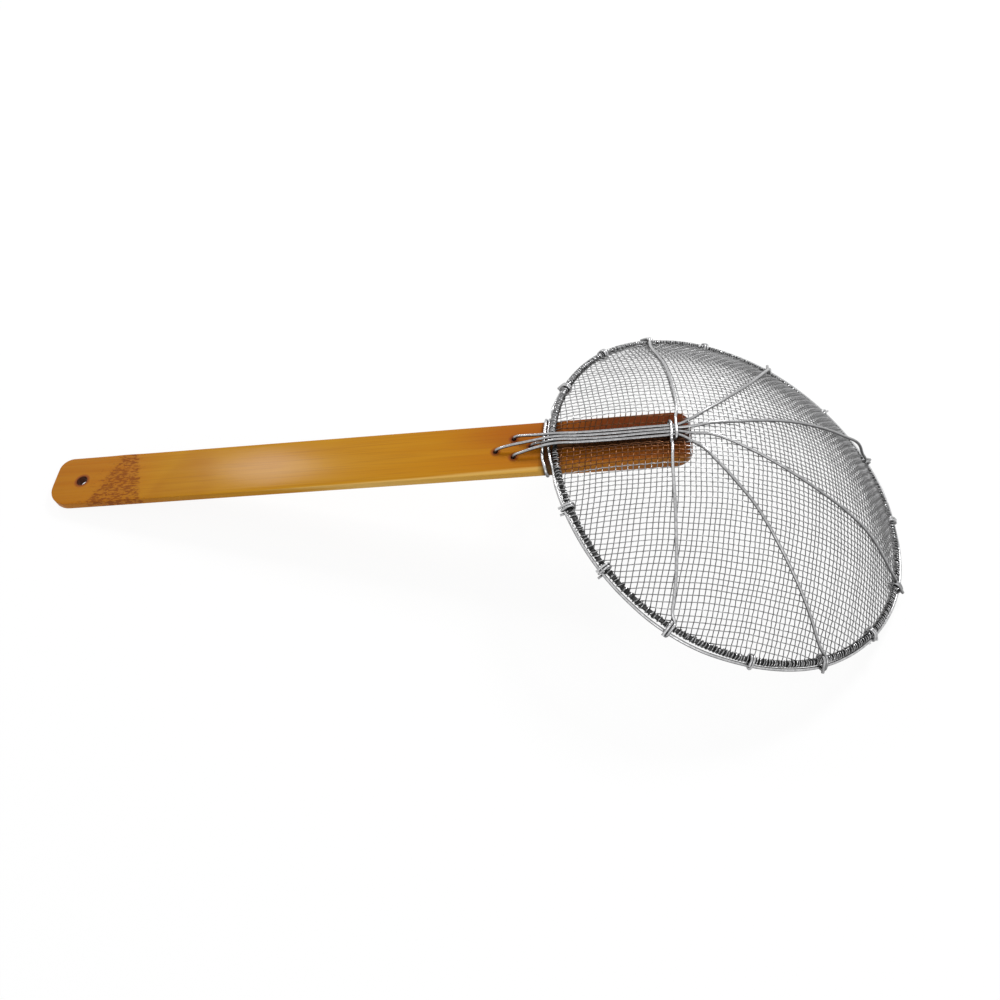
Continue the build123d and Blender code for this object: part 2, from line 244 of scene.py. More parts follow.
class Paint:
    """A material, and the ways in which nodes are added to it."""

    def __init__(self, name, **surface):
        self.material = bpy.data.materials.new(name)
        self.material.use_nodes = True
        self.tree = self.material.node_tree
        self.shader = self.tree.nodes["Principled BSDF"]
        for socket, value in surface.items():
            self.shader.inputs[socket.replace("_", " ")].default_value = value

    def node(self, kind, settings, values, output=0):
        made = self.tree.nodes.new(kind)
        for key, value in settings.items():
            if key == "stops":
                ramp = made.color_ramp
                while len(ramp.elements) < len(value):
                    ramp.elements.new(0.5)
                for element, (place, colour) in zip(ramp.elements, value):
                    element.position, element.color = place, (*colour, 1)
            else:
                setattr(made, key, value)
        for key, value in values.items() if isinstance(values, dict) else enumerate(values):
            self.feed(made.inputs[key], value)
        return Sum(self, made.outputs[output])

    def outputs(self, kind, values, *names):
        """Several outputs of one node."""
        first = self.node(kind, {}, values, names[0])
        return [first] + [Sum(self, first.socket.node.outputs[name]) for name in names[1:]]

    def feed(self, socket, value):
        if isinstance(value, Sum):
            self.tree.links.new(value.socket, socket)
        elif socket.type == "RGBA":
            socket.default_value = (*value, 1) if len(value) == 3 else value
        else:
            socket.default_value = value

    def put(self, **links):
        for socket, value in links.items():
            self.feed(self.shader.inputs[socket.replace("_", " ")], value)

    def place(self, matrix=None):
        """Object coordinates, in a frame of the piece's own where one is given."""
        place = self.node("ShaderNodeTexCoord", {}, {}, "Object")
        if matrix is None:
            return place
        location, rotation, _ = matrix.decompose()
        values = {"Vector": place, "Location": location, "Rotation": rotation.to_euler()}
        return self.node("ShaderNodeMapping", {"vector_type": "TEXTURE"}, values)

    def stretched(self, place, scale):
        return self.node("ShaderNodeVectorMath", {"operation": "MULTIPLY"}, (place, scale))

    def radius(self, place):
        """Distance from the Z axis of a place's frame."""
        level = self.stretched(place, (1.0, 1.0, 0.0))
        return self.node("ShaderNodeVectorMath", {"operation": "LENGTH"}, (level,), "Value")

    def noise(self, place, scale, detail, roughness=0.55):
        values = {"Vector": place, "Scale": scale, "Detail": detail, "Roughness": roughness}
        return self.node("ShaderNodeTexNoise", {}, values)

    def mix(self, factor, first, second):
        return self.node("ShaderNodeMix", {"data_type": "RGBA"}, {0: factor, 6: first, 7: second}, 2)

    def bump(self, height, distance, strength):
        values = {"Height": height, "Distance": distance, "Strength": strength}
        return self.node("ShaderNodeBump", {}, values, "Normal")


def shade(colour, factor):
    return tuple(channel * factor for channel in colour)


def steel_paint(name, base, grain, contrast, roughness, underside_shade=0.65, shadow=(-0.25, 0.6), reflection_and_shade=0.0):
    """Drawn steel wire: a grey metal with fine wear and dull spots, and painted shade that darkens its underside,
    as far up as the two shadow levels say. Where asked for, it is painted the bamboo's brown over the tongue as a
    painted reflection, and near black inside the winding as painted shade."""
    paint = Paint(name, Metallic=1.0)
    place = paint.place()
    fine = paint.noise(place, grain, 4.0, 0.65)
    broad = paint.noise(place, grain / 12, 2.0)
    wear = fine.rises(0.34, 0.68)
    colour = paint.mix(wear, shade(base, 1 - contrast), shade(base, 1 + contrast))
    colour = paint.mix(broad.rises(0.45, 0.75) * 0.35, colour, shade(base, 0.62))
    facing = paint.node("ShaderNodeTexCoord", {}, {}, "Normal")
    upright = paint.node("ShaderNodeSeparateXYZ", {}, {"Vector": facing}, "Z")
    # Painted shade: the wire is darkened where it faces away from upwards, as if shaded from the light above.
    under = 1 - (upright + (broad - 0.5) * 0.5).rises(*shadow)
    colour = paint.mix(under * underside_shade, colour, shade(base, 0.16))
    if reflection_and_shade:
        # Painted reflection: over the tongue the wire is painted the bamboo's dark brown.
        along, across = paint.outputs("ShaderNodeSeparateXYZ", {"Vector": paint.place(HANDLE)}, "X", "Y")
        lengthwise = along.rises(0.001, 0.005) * (1 - along.rises(0.066, 0.069))
        tongue_reflection = lengthwise * (1 - abs(across + 0.0050).rises(0.0145, 0.0165))
        colour = paint.mix(tongue_reflection * reflection_and_shade, colour, (0.11, 0.038, 0.009))
        # Painted shade: inside the winding the wire is painted near black.
        wound = paint.radius(paint.place(BOWL)).rises(RIM_RADIUS - 0.0022, RIM_RADIUS - 0.0008)
        colour = paint.mix(wound, colour, (0.03, 0.03, 0.03))
    paint.put(Base_Color=colour, Roughness=roughness + (1 - wear) * 0.14 + under * 0.12)
    paint.put(Normal=paint.bump(fine, 0.00003, 0.5))
    return paint.material


def bamboo_paint(finish):
    """Lacquered bamboo: lengthwise fibres, a paler front facet with a painted highlight, a scorched node band, a
    tongue darker towards its tip, and painted shade and shadows on the tongue, under the wires and in the holes.
    """
    paint = Paint("bamboo", IOR=1.5, Specular_IOR_Level=0.06, Coat_Roughness=0.17, Coat_IOR=1.5)
    place = paint.place(HANDLE)
    along, across = paint.outputs("ShaderNodeSeparateXYZ", {"Vector": place}, "X", "Y")
    fibres = paint.noise(paint.stretched(place, (5.0, 260.0, 260.0)), 1.0, 5.0, 0.6)
    threads = paint.noise(paint.stretched(place, (22.0, 1500.0, 900.0)), 1.0, 3.0, 0.6)
    blotches = paint.noise(paint.stretched(place, (16.0, 45.0, 45.0)), 1.0, 2.0)

    stops = (
        (0.00, (0.50, 0.165, 0.004)),
        (0.12, (0.52, 0.175, 0.004)),
        (0.20, (0.56, 0.245, 0.006)),
        (0.45, finish.bamboo),
        (0.62, (0.57, 0.230, 0.004)),
        (0.76, (0.52, 0.165, 0.004)),
        (0.82, (0.47, 0.135, 0.006)),
        (0.90, (0.41, 0.100, 0.008)),
        (1.00, (0.30, 0.060, 0.008)),
    )
    from_free_end = (along + 0.277) / 0.3474
    colour = paint.node("ShaderNodeValToRGB", {"stops": stops}, {"Fac": from_free_end}, "Color")
    colour = paint.mix(fibres.rises(0.30, 0.72) * 0.18, colour, (0.68, 0.36, 0.020))
    colour = paint.mix((1 - threads.rises(0.30, 0.55)) * 0.30, colour, (0.36, 0.115, 0.005))
    colour = paint.mix(blotches.rises(0.48, 0.80) * 0.25, colour, (0.46, 0.150, 0.004))

    # The front facet is paler, with a painted highlight along its wavering upper line, and dull on the tongue.
    line = -0.0128 + along * 0.020 + (fibres - 0.5) * 0.004
    facet = (line - across).rises(0.0, 0.0012) * (1 - along.rises(-0.002, 0.006) * 0.8)
    colour = paint.mix(facet * 0.70, colour, (0.78, 0.46, 0.080))
    # Painted highlight: a pale line along the top of the facet.
    edge = facet * (1 - (line - across).rises(0.0012, 0.0026))
    colour = paint.mix(edge * 0.40, colour, (0.86, 0.58, 0.20))

    # The scorched band of the node, full of short dark dashes, with a paler scorch beside it, and painted shade,
    # # nearly black, on the upper half of the tongue.
    dashes = paint.noise(paint.stretched(place, (330.0, 1050.0, 600.0)), 1.0, 3.0, 0.7)
    left = along - across * 0.43 + 0.2464 + (blotches - 0.5) * 0.006
    right = along + across * 0.33 + 0.2262 + (fibres - 0.5) * 0.006
    band = left.rises(-0.0015, 0.003) * (1 - right.rises(-0.0015, 0.0015))
    strewn = left.rises(-0.010, 0.001) * (1 - right.rises(-0.001, 0.005))
    marks = (dashes + band * 0.13).rises(0.58, 0.68) * strewn
    colour = paint.mix(band * 0.25, colour, (0.36, 0.095, 0.006))
    colour = paint.mix(marks * 0.70, colour, finish.burn)
    patch = (along - across * 0.6).rises(-0.214, -0.207) * (1 - along.rises(-0.190, -0.176))
    colour = paint.mix(patch * blotches.rises(0.30, 0.60) * 0.35, colour, (0.40, 0.120, 0.004))
    # Painted shade: the upper half of the tongue is darkened nearly to black.
    upper = across.rises(0.0, 0.004) * along.rises(0.0, 0.035)
    colour = paint.mix(upper * 0.78, colour, (0.055, 0.010, 0.005))

    # Painted shadow, near black, under and between the rim's strands and under the bundle of ribs, a redder patch
    # # on the far half near the rim, and round each hole a dark red ring, with painted shade, near black, at its
    # edge
    # # and in it.
    reddened = along.rises(-0.060, -0.020) * across.rises(-0.002, 0.008)
    colour = paint.mix(reddened * 0.45, colour, (0.36, 0.060, 0.003))
    # Painted shadow: under and between the rim's strands the wood is darkened nearly to black.
    strands = along.rises(-0.0055, -0.0030) * (1 - along.rises(0.0030, 0.0070))
    colour = paint.mix(strands * (0.85 - across.rises(-0.004, 0.004) * 0.35), colour, (0.035, 0.012, 0.006))
    # Painted shadow of the bundle of ribs: a near-black band on the tongue that widens towards its tip.
    reach = along * 0.035 + 0.0024 + (fibres - 0.5) * 0.002
    bundle_shadow = along.rises(0.0, 0.006) * (1 - (abs(across + 0.0003) - reach).rises(-0.0006, 0.0010))
    colour = paint.mix(bundle_shadow * 0.85, colour, (0.014, 0.006, 0.004))
    for x, y, radius in HOLES:
        centred = paint.node("ShaderNodeVectorMath", {"operation": "SUBTRACT"}, (place, (x * MM, y * MM, 0)))
        distance = paint.radius(centred)
        hole_edge = radius * MM + 0.0002
        # A dark red ring round the hole.
        colour = paint.mix((1 - distance.rises(hole_edge + 0.0004, hole_edge + 0.0020)) * 0.7, colour, (0.24, 0.035, 0.010))
        # Painted shade: near black at the hole's edge and on its walls.
        colour = paint.mix((1 - distance.rises(hole_edge - 0.0003, hole_edge + 0.0005)) * 0.9, colour, (0.06, 0.012, 0.006))

    roughness = 0.48 - fibres.rises(0.35, 0.7) * 0.10 + marks * 0.1
    height = fibres * 0.6 + threads * 0.4 + marks * 0.3
    paint.put(Base_Color=colour, Roughness=roughness, Coat_Weight=0.14 - marks * 0.08)
    paint.put(Normal=paint.bump(height, 0.00012, 0.45))
    return paint.material


def deselect():
    """Object mode with nothing selected."""
    if bpy.context.mode != "OBJECT":
        bpy.ops.object.mode_set(mode="OBJECT")
    bpy.ops.object.select_all(action="DESELECT")


def edit():
    """Edit mode with everything selected."""
    bpy.ops.object.mode_set(mode="EDIT")
    bpy.ops.mesh.select_all(action="SELECT")


def close_mesh(angle=50.0):
    """Merges doubled points of the active piece, turns its faces outwards and smooths all but sharper edges."""
    edit()
    bpy.ops.mesh.remove_doubles(threshold=1e-6)
    bpy.ops.mesh.normals_make_consistent(inside=False)
    bpy.ops.object.mode_set(mode="OBJECT")
    bpy.ops.object.shade_smooth_by_angle(angle=math.radians(angle))


def finish_piece(piece, name, material, node, frame_matrix=BOWL):
    """Puts a piece modelled in its own frame in place, and hides the solid that it replaces."""
    piece.name = piece.data.name = name
    piece.matrix_world = frame_matrix
    bpy.ops.object.transform_apply(location=True, rotation=True, scale=True)
    piece.data.materials.clear()
    piece.data.materials.append(material)
    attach(piece, "root")
    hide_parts(node)


def bend_wires(paths, diameter, sides, smooth=True, steps=4):
    """One mesh of round wires along paths of points, each smooth through its points unless told otherwise."""
    deselect()
    bpy.ops.curve.primitive_nurbs_path_add()
    piece = bpy.context.active_object
    curve = piece.data
    curve.splines.clear()
    for path in paths:
        spline = curve.splines.new("BEZIER" if smooth else "POLY")
        if smooth:
            spline.bezier_points.add(len(path) - 1)
            for knot, point in zip(spline.bezier_points, path):
                knot.co = point
                knot.handle_left_type = knot.handle_right_type = "AUTO"
        else:
            spline.points.add(len(path) - 1)
            spline.points.foreach_set("co", np.c_[np.array(path), np.ones(len(path))].ravel())
    curve.resolution_u = steps
    curve.bevel_depth = diameter / 2
    curve.bevel_resolution = (sides - 4) // 2
    curve.use_fill_caps = True
    bpy.ops.object.convert(target="MESH")
    close_mesh()
    return piece


def at_angle(table, degrees):
    """A value, or an array of values, from a table round the rim."""
    return np.interp((degrees + 180) % 360 - 180, *zip(*table))


def hoop_reach(degrees):
    """Radius of the hoop's middle line at an angle of the rim, in metres."""
    return RIM_RADIUS + at_angle(HOOP_STRAY, degrees) * MM


def outer_place(degrees):
    """How far the outer wire's middle lies from the hoop's, and its direction below the rim's plane."""
    return at_angle(OUTER_GAP, degrees) * MM, math.radians(at_angle(OUTER_DIP, degrees))


def rim_wrap(rim, angle, diameter, first, last, pitch, side, tails):
    """Points of a wire wound tightly round the wound hoop and the outer wire together, at an angle of the rim. It
    turns from one direction round the pair to another, in degrees, and moves sideways by the pitch in each turn.
    Where a tail is given, the wire runs straight on past that end."""
    distance, dip = outer_place(angle)
    big = rim.coil_radius + rim.coil_wire / 2 + diameter / 2 + WRAP_GAP
    small = rim.outer_wire / 2 + diameter / 2 + WRAP_GAP
    turn, reach = math.radians(angle), hoop_reach(angle)
    count = round((first - last) / WRAP_STEP)
    section = []
    for k in range(count + 1):
        direction = math.radians(first + (last - first) * k / count)
        on_outer = distance * math.cos(direction) + small > big
        radius, centre = (small, distance) if on_outer else (big, 0)
        section.append((centre + radius * math.cos(direction), radius * math.sin(direction), k / count - 0.5))
    for end, sign in ((0, 1), (-1, -1)):
        if tails[end]:
            direction = math.radians((first, last)[end])
            u, v, along = section[end]
            run = sign * tails[end]
            tip = (u - run * math.sin(direction), v + run * math.cos(direction), along - sign * 0.04)
            section.insert(0 if end == 0 else len(section), tip)
    points = []
    for u, v, along in section:
        out = reach + u * math.cos(dip) + v * math.sin(dip)
        up = v * math.cos(dip) - u * math.sin(dip)
        sideways = side * pitch * (first - last) / 360 * along
        x = out * math.cos(turn) - sideways * math.sin(turn)
        points.append((x, out * math.sin(turn) + sideways * math.cos(turn), up))
    return points


def end_wrap(rim, bowl, angle, tail):
    """The end of a rib or of the brace: a little over one turn round the rim, then a straight tail."""
    side = 1 if angle > 0 else -1
    return rim_wrap(rim, angle, bowl.rib_wire, 130, -285, 1.7 * MM, side, (0.0, tail * MM))


def on_handle(x, y, h):
    """A point in the bowl's frame, given in millimetres: along the handle, across it from the bowl's middle plane,
    and above its face."""
    return tuple(HANDLE_IN_BOWL @ Vector((x * MM, (y - HANDLE_SIDE) * MM, h * MM)))


def bundle_height(x):
    return np.interp(x, *zip(*BUNDLE_LINE))


def mesh_height(rise, x, y, flattened=True):
    """Height in millimetres of the mesh's middle surface: a dome that is flatter beside the rim, where it is asked
    for, and drawn in to a seat under the bundle of ribs, lowest under the brace."""
    degrees, radius = np.degrees(np.arctan2(y, x)), np.hypot(x, y)
    stray = at_angle(HOOP_STRAY, degrees) * np.clip(radius / 60 - 0.6, 0, 1)
    share = radius / (RIM_RADIUS / MM - MESH_INSET + stray)
    drop = rise - MESH_EDGE_HEIGHT
    flatness = at_angle(DOME_EASE, degrees) * flattened
    dome = rise - drop * share**2 - drop * flatness * share**10 * np.clip(1 - share**2, 0, 1)
    near = np.interp(x, (-99.0, -93.0, -49.0, -42.0), (0.0, 1.0, 1.0, 0.0))
    beside = np.clip((np.abs(y - BUNDLE_SHIFT) - 4.2) / 7.0, 0, 1)
    drawn = (1 - beside * beside * (3 - 2 * beside)) * near
    seat = bundle_height(x) - 1.5 - 1.2 * np.exp(-(((x + 50) / 5) ** 2))
    return dome - drawn * np.maximum(0, dome - seat)


def mesh_drift(x, y):
    """How far the weave's wires wander sideways in the bowl's plane, in millimetres, with one bunch of wires."""
    bunch = np.exp(-(((x + 30) / 4) ** 2) - ((y + 46) / 24) ** 2)
    dx = -0.24 * (x + 30) * bunch + 0.22 * np.sin(x / 17 + y / 23 + 1.0)
    dx = dx + 0.16 * np.sin(x / 7.1 - y / 9.3 + 2.2) + 0.10 * np.sin(y / 3.9 + x / 29)
    dy = 0.22 * np.sin(x / 21 - y / 15 + 0.4) + 0.15 * np.sin(x / 8.3 + y / 6.7 + 4.0)
    dy = dy + 0.10 * np.sin(x / 4.3 - y / 31)
    return dx, dy


def half_length(fixed, along, sign):
    """How far a mesh wire runs from the middle to the hoop on one side, closed in on from a first guess."""
    half = math.sqrt(99.0**2 - fixed**2)
    for _ in range(6):
        place = sign * half
        angle = math.degrees(math.atan2(fixed, place) if along else math.atan2(place, fixed))
        half = math.sqrt((hoop_reach(angle) / MM - MESH_INSET) ** 2 - fixed**2)
    return half


def hoop_fold(point):
    """Points of a mesh wire's end folded over the hoop, from the mesh outwards."""
    turn = math.atan2(point[1], point[0])
    hoop = hoop_reach(math.degrees(turn)) / MM
    fold = []
    for lean in (1.75, 1.1, 0.45, -0.2):
        out = hoop + FOLD_RADIUS * math.cos(lean)
        fold.append((out * math.cos(turn), out * math.sin(turn), FOLD_RADIUS * math.sin(lean)))
    return fold


def mesh_paths(bowl, along):
    """The wires of one direction of the weave, each over and under the other's, with its ends folded over the
    hoop. The wires that would cross the bundle of ribs at the rim stop short of it."""
    pitch, radius, rise = bowl.pitch / MM, bowl.mesh_wire / MM / 2, bowl.rise / MM
    count = int(MESH_SHARE * RIM_RADIUS / bowl.pitch)
    paths = []
    for k in range(-count, count + 1):
        fixed = k * pitch
        low, high = -half_length(fixed, along, -1), half_length(fixed, along, 1)
        running = np.arange(-90, 91) * pitch / 2
        running = np.r_[low, running[(running > low + 0.4) & (running < high - 0.4)], high]
        level = np.full_like(running, fixed)
        x, y = (running, level) if along else (level, running)
        weave = (1 if along else -1) * (-1) ** k * np.cos(np.pi * running / pitch) * radius
        # The wires wander and stray from an even spacing, but not beside the hoop.
        dx, dy = mesh_drift(x, y)
        calm = np.clip(np.minimum(running - low, high - running) / 6, 0, 1)
        stray = 0.24 * math.sin(7.3 * k + 2.1 * along)
        x, y = x + (dx + (0 if along else stray)) * calm, y + (dy + (stray if along else 0)) * calm
        z = mesh_height(rise, x, y)
        slope_x = mesh_height(rise, x + 0.5, y) - mesh_height(rise, x - 0.5, y)
        slope_y = mesh_height(rise, x, y + 0.5) - mesh_height(rise, x, y - 0.5)
        size = np.sqrt(1 + slope_x**2 + slope_y**2)
        points = np.c_[x - slope_x / size * weave, y - slope_y / size * weave, z + weave / size]
        first_fold, last_fold = hoop_fold(points[0]), hoop_fold(points[-1])
        if along and abs(fixed - BUNDLE_SHIFT) < BUNDLE_HALF:
            points, first_fold = points[points[:, 0] > ALONG_STOP], []
        path = np.array(first_fold[::-1] + points.tolist() + last_fold) * MM
        if not along and path[:, 0].mean() < ACROSS_STOP * MM:
            paths += [path[path[:, 1] < ACROSS_GAP[0] * MM], path[path[:, 1] > ACROSS_GAP[1] * MM]]
        else:
            paths.append(path)
    return [path for path in paths if len(path) > 3]


def face_shift(x, y):
    """How far the handle's face lies from a flat one, in millimetres: crowned, with a swollen node and a facet."""
    node = 0.28 * math.exp(-(((x + 238) / 7.0) ** 2))
    facet = 0.17 * max(0.0, -12.8 + x * 0.020 - y)
    return -0.6 + node - facet - 0.0012 * (y + 2) ** 2


def wire_settings(context):
    """The settings of the rim, the bowl and the finish."""
    scene = context.scene
    return scene.skimmer_rim, scene.skimmer_bowl, scene.skimmer_finish


class SKIMMER_OT_handle(bpy.types.Operator):
    """Models the bamboo handle: a flat strip with a facet, a swollen node, rounded ends and drilled holes"""

    bl_idname = "skimmer.handle"
    bl_label = "Bamboo handle"

    def execute(self, context):
        size, finish = context.scene.skimmer_handle, context.scene.skimmer_finish
        free_end = size.length - size.tongue
        deselect()
        middle = ((size.tongue - free_end) / 2, 0, -size.thickness / 2)
        bpy.ops.mesh.primitive_cube_add(size=1, location=middle, scale=(size.length, size.width, size.thickness))
        piece = context.active_object
        bpy.ops.object.transform_apply(location=True, rotation=True, scale=True)
        mesh = piece.data

        # The four upright corner edges are rounded, the near one of the free end most.
        edit()
        corners = ((-free_end, 1, 7.0), (-free_end, -1, 12.5), (size.tongue, 1, 9.0), (size.tongue, -1, 9.0))
        for end, side, radius in corners:
            select_edges(mesh, lambda point: abs(point.x - end) < 1e-5 and point.y * side > 0.4 * size.width)
            bpy.ops.mesh.bevel(offset=radius * MM, segments=10, affect="EDGES")

        # Cuts across and along give the faces the points that the node and the facet need.
        for x in np.r_[np.arange(-270, 66, 12.0), -247.0, -243.0, -238.5, -233.0, -228.0]:
            cut_through((x * MM, 0, 0), (1, 0, 0))
        for y in (-13.4, -11.0, -8.6, -6.0, -2.0, 2.0, 6.0, 10.0, 13.4):
            cut_through((0, y * MM, 0), (0, 1, 0))
        bpy.ops.object.mode_set(mode="OBJECT")
        for vertex in mesh.vertices:
            x, y = vertex.co.x / MM, vertex.co.y / MM
            if vertex.co.z > -size.thickness / 2:
                vertex.co.z += face_shift(x, y) * MM
            else:
                vertex.co.z += 0.05 * math.sin(x / 31.0) * MM

        # The long edges are eased all round, and the holes are drilled.
        edit()
        bpy.ops.mesh.select_all(action="DESELECT")
        bpy.ops.mesh.edges_select_sharp(sharpness=math.radians(40.0))
        bpy.ops.mesh.bevel(offset=1.35 * MM, segments=5, affect="EDGES", clamp_overlap=True)
        bpy.ops.object.mode_set(mode="OBJECT")
        for hole in HOLES:
            self.drill(piece, *hole)
        close_mesh(32.0)
        finish_piece(piece, "handle_bamboo", bamboo_paint(finish), "bamboo_handle", HANDLE)
        return {"FINISHED"}

    def drill(self, piece, x, y, radius):
        """A plain round hole right through."""
        deselect()
        middle = (x * MM, y * MM, -0.0025)
        bpy.ops.mesh.primitive_cylinder_add(vertices=28, radius=radius * MM, depth=0.02, location=middle)
        drill = bpy.context.active_object
        deselect()
        piece.select_set(True)
        bpy.context.view_layer.objects.active = piece
        cut = piece.modifiers.new("hole", "BOOLEAN")
        cut.object, cut.operation, cut.solver = drill, "DIFFERENCE", "EXACT"
        bpy.ops.object.modifier_apply(modifier=cut.name)
        bpy.data.objects.remove(drill)


def select_edges(mesh, wanted):
    """Selects in edit mode only the edges whose two end points both satisfy a test."""
    bpy.ops.object.mode_set(mode="OBJECT")
    for group in (mesh.polygons, mesh.edges, mesh.vertices):
        group.foreach_set("select", np.zeros(len(group), bool))
    for edge in mesh.edges:
        edge.select = all(wanted(mesh.vertices[i].co) for i in edge.vertices)
    bpy.ops.object.mode_set(mode="EDIT")
    bpy.ops.mesh.select_mode(type="EDGE")


def cut_through(place, normal):
    """Cuts every face of the edited piece that a plane crosses."""
    bpy.ops.mesh.select_all(action="SELECT")
    bpy.ops.mesh.bisect(plane_co=place, plane_no=normal)


class SKIMMER_OT_hoop(bpy.types.Operator):
    """Models the hoop: a heavy wire bent into a ring, whose two ends meet the handle under the ribs"""

    bl_idname = "skimmer.hoop"
    bl_label = "Rim hoop"

    def execute(self, context):
        rim, _, finish = wire_settings(context)
        start, opening = math.radians(-180 + 4.4), 8.4 * MM / RIM_RADIUS
        deselect()
        middle = (RIM_RADIUS * math.cos(start), RIM_RADIUS * math.sin(start), 0)
        upright = (math.pi / 2, 0, start)
        bpy.ops.mesh.primitive_circle_add(
            vertices=14, radius=rim.hoop_wire / 2, fill_type="NGON", location=middle, rotation=upright
        )
        piece = context.active_object
        bpy.ops.object.transform_apply(location=True, rotation=True, scale=True)
        edit()
        bpy.ops.mesh.spin(steps=176, angle=2 * math.pi - opening, center=(0, 0, 0), axis=(0, 0, 1))
        bpy.ops.object.mode_set(mode="OBJECT")
        for vertex in piece.data.vertices:
            turn = math.atan2(vertex.co.y, vertex.co.x)
            stray = float(at_angle(HOOP_STRAY, math.degrees(turn))) * MM
            vertex.co += Vector((math.cos(turn), math.sin(turn), 0)) * stray
        close_mesh()
        # Painted shade: the hoop is painted near black to stand for the shade in the gaps between the coil's
        # turns.
        material = steel_paint("hoop_steel", shade(finish.steel, 0.14), 900.0, 0.25, 0.34)
        finish_piece(piece, "rim_hoop_wire", material, "rim_hoop")
        return {"FINISHED"}


class SKIMMER_OT_winding(bpy.types.Operator):
    """Models the winding: a fine wire coiled unevenly round the hoop, open where the ribs cross it"""

    bl_idname = "skimmer.winding"
    bl_label = "Rim winding"

    def execute(self, context):
        rim, _, finish = wire_settings(context)
        draws = random.Random(11)
        steps = 10
        turn, last = math.radians(-180 + 3.8), math.radians(180 - 3.1)
        points, k, pitch, radius, lean = [], 0, 0.0, 0.0, 0.0
        while turn < last:
            if k % steps == 0:
                loose = at_angle(COIL_PITCH, math.degrees(turn))
                pitch = loose * rim.coil_ease * draws.uniform(0.74, 1.28) * MM
                radius = rim.coil_radius + draws.uniform(-0.03, 0.05) * MM
                lean = draws.uniform(-0.3, 0.3) * loose * MM
            around = 2 * math.pi * k / steps
            reach = hoop_reach(math.degrees(turn))
            out = reach + radius * math.cos(around)
            place = turn + lean * math.sin(around) / reach
            points.append((out * math.cos(place), out * math.sin(place), radius * math.sin(around)))
            turn += pitch / steps / reach
            k += 1
        piece = bend_wires([points], rim.coil_wire, sides=6, smooth=False)
        material = steel_paint("coil_steel", shade(finish.steel, 0.95), 1400.0, 0.45, 0.22, 0.85, (0.0, 0.8))
        finish_piece(piece, "rim_winding_coil", material, "rim_winding")
        return {"FINISHED"}


class SKIMMER_OT_outer_wire(bpy.types.Operator):
    """Models the outer wire: round the rim below the winding, then wound twice round the handle"""

    bl_idname = "skimmer.outer_wire"
    bl_label = "Outer wire"

    def execute(self, context):
        rim, _, finish = wire_settings(context)
        back = -5.9  # the height at which it runs behind the handle, in millimetres
        start = ((2.0, 6.0, back), (2.0, 15.5, back), (1.5, 18.6, -3.4), (0.9, 20.2, -1.0))
        points = [on_handle(*p) for p in start]
        for degrees in np.arange(167.0, -167.0, -3.0):
            distance, dip = outer_place(degrees)
            reach, turn = hoop_reach(degrees) + distance * math.cos(dip), math.radians(degrees)
            points.append((reach * math.cos(turn), reach * math.sin(turn), -distance * math.sin(dip)))
        strands = (
            (1.9, -18.6, 0.35), (1.2, -14.2, 0.8), (0.2, -10.0, 0.9), (-0.6, -4.0, 0.92), (-1.0, 3.0, 0.92),
            (-0.9, 10.0, 0.95), (-0.4, 16.2, 0.8), (-0.5, 18.1, -1.0), (-0.6, 18.2, -3.0), (-0.9, 15.6, back),
            (-1.5, 1.0, back), (-1.6, -12.4, back), (-1.8, -15.9, -4.2), (-2.1, -16.2, -1.2), (-2.8, -13.6, 0.8),
            (-4.0, -8.5, 0.9), (-3.9, -2.0, 0.92), (-3.0, 8.0, 0.95), (-2.4, 16.2, 0.8), (-2.4, 18.1, -1.0),
            (-2.4, 18.2, -3.0), (-2.7, 15.6, back), (-3.2, 7.0, back), (-3.5, 1.5, back),
        )
        points += [on_handle(*p) for p in strands]
        piece = bend_wires([points], rim.outer_wire, sides=12)
        material = steel_paint("outer_steel", shade(finish.steel, 1.3), 700.0, 0.22, 0.20, 0.85, (0.0, 0.75))
        finish_piece(piece, "rim_outer_wire_ring", material, "rim_outer_wire")
        return {"FINISHED"}


class SKIMMER_OT_mesh(bpy.types.Operator):
    """Weaves the bowl's mesh: wires along and across the handle, over and under each other"""

    bl_idname = "skimmer.mesh"
    bl_label = "Woven mesh"

    def execute(self, context):
        _, bowl, finish = wire_settings(context)
        directions = (
            (True, "mesh_warp", "mesh_wires_along", finish.mesh_steel),
            # Painted shade: the wires across are the same steel as those along, painted darker.
            (False, "mesh_weft", "mesh_wires_across", shade(finish.mesh_steel, 0.6)),
        )
        for along, name, node, colour in directions:
            material = steel_paint(name + "_steel", colour, 1200.0, 0.30, 0.32, 0.65, (-0.55, 0.30), 0.95)
            piece = bend_wires(mesh_paths(bowl, along), bowl.mesh_wire, sides=6, smooth=False)
            finish_piece(piece, name, material, node)
        return {"FINISHED"}


